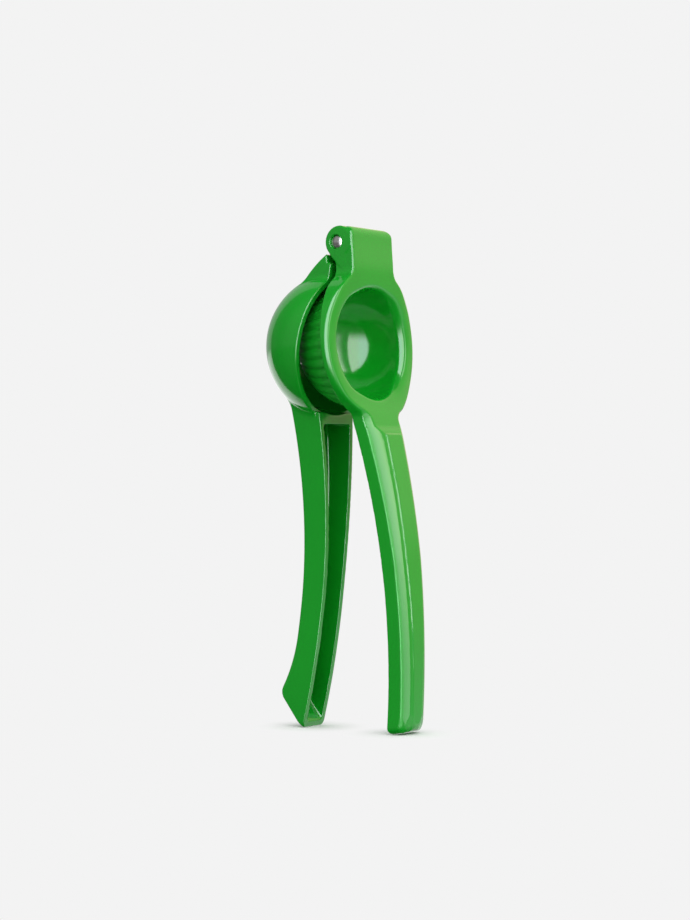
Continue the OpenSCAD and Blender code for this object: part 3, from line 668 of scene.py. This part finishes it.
def add(tree, kind, links, output=0, **settings):
    """A shader node with its settings; links maps its inputs to values or to other nodes' outputs.
    Gives the wanted output, or None for a node that has none."""
    node = tree.nodes.new("ShaderNode" + kind)
    for name, value in settings.items():
        setattr(node, name, value)
    for key, value in links.items():
        if isinstance(value, bpy.types.NodeSocket):
            tree.links.new(value, node.inputs[key])
        else:
            node.inputs[key].default_value = value
    return node.outputs[output] if len(node.outputs) else None


def new_material(name):
    """An empty material, and its tree of nodes."""
    mat = bpy.data.materials.new(name)
    mat.use_nodes = True
    mat.node_tree.nodes.clear()
    return mat, mat.node_tree


def baked_enamel():
    """Baked enamel over cast aluminium: a hard, glossy green coat. It shows a faint orange peel
    about 2 mm across, and runs a little darker where it is thicker."""
    mat, t = new_material("baked_enamel_green")
    place = add(t, "TexCoord", {}, "Object")
    runs = {"Vector": place, "Scale": FLOW_SCALE, "Detail": 2.0, "Roughness": 0.5}
    flow = add(t, "TexNoise", runs, "Fac")
    greens = {"A": linear("0C901E"), "B": linear("109922")}
    shade = add(t, "Mix", {"Factor": flow, **greens}, "Result", data_type="RGBA")
    peel = {"Vector": place, "Scale": PEEL_SCALE, "Detail": 1.0, "Roughness": 0.4}
    skin_height = add(t, "TexNoise", peel, "Fac")
    bump = add(t, "Bump", {"Strength": 0.06, "Distance": PEEL_HEIGHT, "Height": skin_height})
    dull = add(t, "Attribute", {}, "Fac", attribute_name="dull")
    gloss = add(t, "MapRange", {"Value": dull, "To Min": 0.11, "To Max": 0.42}, "Result")
    coat = {"Base Color": shade, "Roughness": gloss, "IOR": 1.52, "Normal": bump}
    add(t, "OutputMaterial", {"Surface": add(t, "BsdfPrincipled", coat)})
    return mat


def pin_steel():
    """Stainless steel, turned and polished: nearly a mirror, a little uneven. The rings left by
    turning are too fine to see one by one, so a grain about 1 mm across stands for them."""
    mat, t = new_material("stainless_steel_polished")
    place = add(t, "TexCoord", {}, "Object")
    grain = add(t, "TexNoise", {"Vector": place, "Scale": GRAIN_SCALE, "Detail": 2.0}, "Fac")
    gloss = add(t, "MapRange", {"Value": grain, "To Min": 0.16, "To Max": 0.30}, "Result")
    metal = {"Base Color": linear("C9C6C4"), "Metallic": 1.0, "Roughness": gloss}
    add(t, "OutputMaterial", {"Surface": add(t, "BsdfPrincipled", metal)})
    return mat


enamel, steel = baked_enamel(), pin_steel()
for piece, body, node, slot, finish in (
    (press, "press", "press_lever", "green_enamel", enamel),
    (cup, "cup", "cup_lever", "green_enamel", enamel),
    (pin, "press", "hinge_pin", "pin_steel", steel),
):
    piece.data.materials.append(finish)
    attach(piece, body)
    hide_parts(node)

# Floor, backdrop and light


def floor_paint():
    """Pale paint. The camera sees it with the press's soft shadow near the feet and as the plain
    background further out; it throws more light back up from its right half than from its left."""
    mat, t = new_material("studio_floor_paint")
    place = add(t, "TexCoord", {}, "Object")
    from_foot = [
        add(t, "VectorMath", {0: place, 1: (foot_x, 0, 0)}, "Value", operation="DISTANCE")
        for foot_x in FEET_X
    ]
    away = add(t, "Math", dict(enumerate(from_foot)), operation="MINIMUM")
    east = add(t, "SeparateXYZ", {0: place}, "X")
    clear, thrown = (
        add(t, "MapRange", {
            "Value": value, "From Min": low, "From Max": high, "To Min": before, "To Max": after,
        }, "Result", interpolation_type="SMOOTHSTEP")
        for value, low, high, before, after in ((away, *SHADOW_FADE), (east, *THROWN_BACK))
    )
    shade = add(t, "BsdfDiffuse", {"Color": linear("E5E5E5")})
    plain = add(t, "Emission", {"Color": linear(PALE), "Strength": 1.0})
    seen = add(t, "MixShader", {0: clear, 1: shade, 2: plain})
    grey = add(t, "CombineXYZ", {axis: thrown for axis in range(3)})
    camera = add(t, "LightPath", {}, "Is Camera Ray")
    both = add(t, "MixShader", {0: camera, 1: add(t, "BsdfDiffuse", {"Color": grey}), 2: seen})
    add(t, "OutputMaterial", {"Surface": both})
    return mat


def studio_floor():
    """A square of floor that gloss doesn't mirror."""
    n = FLOOR_HALF
    corners = np.array([[-n, -n, 0], [n, -n, 0], [n, n, 0], [-n, n, 0]])
    floor = mesh_object("studio_floor", corners, [[0, 1, 2, 3]])
    floor.data.materials.append(floor_paint())
    floor.visible_glossy = False


def dull_light(t, ray):
    """Light on dull surfaces: even from all round, and from each lamp a strength times a power of
    the cosine between the ray and the lamp."""
    level = EVEN_LIGHT
    for direction, power, strength in LAMPS:
        towards = add(t, "VectorMath", {0: ray, 1: direction}, "Value", operation="DOT_PRODUCT")
        towards = add(t, "Math", {0: towards, 1: 0.0}, operation="MAXIMUM")
        towards = add(t, "Math", {0: towards, 1: power}, operation="POWER")
        level = add(t, "Math", {0: towards, 1: strength, 2: level}, operation="MULTIPLY_ADD")
    return level


def glossy_room(t, ray, glossy):
    """What gloss mirrors: a room that is dark to the left, with a bright window beside the camera,
    a paler pane to its right and the pale backdrop beyond. Gives its level, and where it is warm
    and where it is cool. Az is the angle from the camera round to its right, el the angle upwards."""
    right, near, up = (
        add(t, "VectorMath", {0: ray, 1: direction}, "Value", operation="DOT_PRODUCT")
        for direction in (CAMERA_RIGHT, TO_CAMERA, (0, 0, 1))
    )
    angles = {
        "az": add(t, "Math", {0: right, 1: near}, operation="ARCTAN2"),
        "el": add(t, "Math", {0: up}, operation="ARCSINE"),
    }
    for name, angle in angles.items():
        angles[name] = add(t, "Math", {0: angle}, operation="DEGREES")
    at = {"glossy": glossy}
    for name, (angle, low, high, before, after) in ROOM_STEPS.items():
        at[name] = add(t, "MapRange", {
            "Value": angles[angle], "From Min": low, "From Max": high, "To Min": before, "To Max": after,
        }, "Result", interpolation_type="SMOOTHSTEP")
    for name, (first, *others) in ROOM_PRODUCTS.items():
        at[name] = at[first]
        for other in others:
            at[name] = add(t, "Math", {0: at[name], 1: at[other]}, operation="MULTIPLY")
    drop = add(t, "Math", {0: at["drop_top"], 1: at["drop_foot"]}, operation="MAXIMUM")
    room = add(t, "Mix", {"Factor": at["drop_from"], "A": ROOM_LEVEL, "B": drop}, "Result")
    room = add(t, "Math", {0: room, 1: at["behind"]}, operation="MAXIMUM")
    room = add(t, "Mix", {"Factor": at["dark_side"], "A": room, "B": at["dark"]}, "Result")
    room = add(t, "Math", {0: room, 1: at["dim"], 2: at["pane"]}, operation="MULTIPLY_ADD")
    room = add(t, "Math", {0: at["window"], 1: WINDOW_LEVEL, 2: room}, operation="MULTIPLY_ADD")
    return room, at["warm"], at["cool"]


def studio_world():
    """The camera sees the plain background, gloss mirrors the room, and dull surfaces are lit most
    from above and from the camera's side."""
    world = bpy.data.worlds.new("studio_world")
    bpy.context.scene.world = world
    world.use_nodes = True
    t = world.node_tree
    t.nodes.clear()
    ray = add(t, "TexCoord", {}, "Generated")
    glossy = add(t, "LightPath", {}, "Is Glossy Ray")
    room, warm, cool = glossy_room(t, ray, glossy)
    level = add(t, "Mix", {"Factor": glossy, "A": dull_light(t, ray), "B": room}, "Result")
    tint = (1.0, 1.0, 1.0, 1.0)
    for share, colour in ((cool, COOL), (warm, WARM)):
        tint = add(t, "Mix", {"Factor": share, "A": tint, "B": colour}, "Result", data_type="RGBA")
    light = add(t, "Background", {"Color": tint, "Strength": level})
    plain = add(t, "Background", {"Color": linear(PALE), "Strength": 1.0})
    camera = add(t, "LightPath", {}, "Is Camera Ray")
    add(t, "OutputWorld", {"Surface": add(t, "MixShader", {0: camera, 1: light, 2: plain})})


studio_floor()
studio_world()
bpy.context.scene.view_settings.view_transform = "Standard"
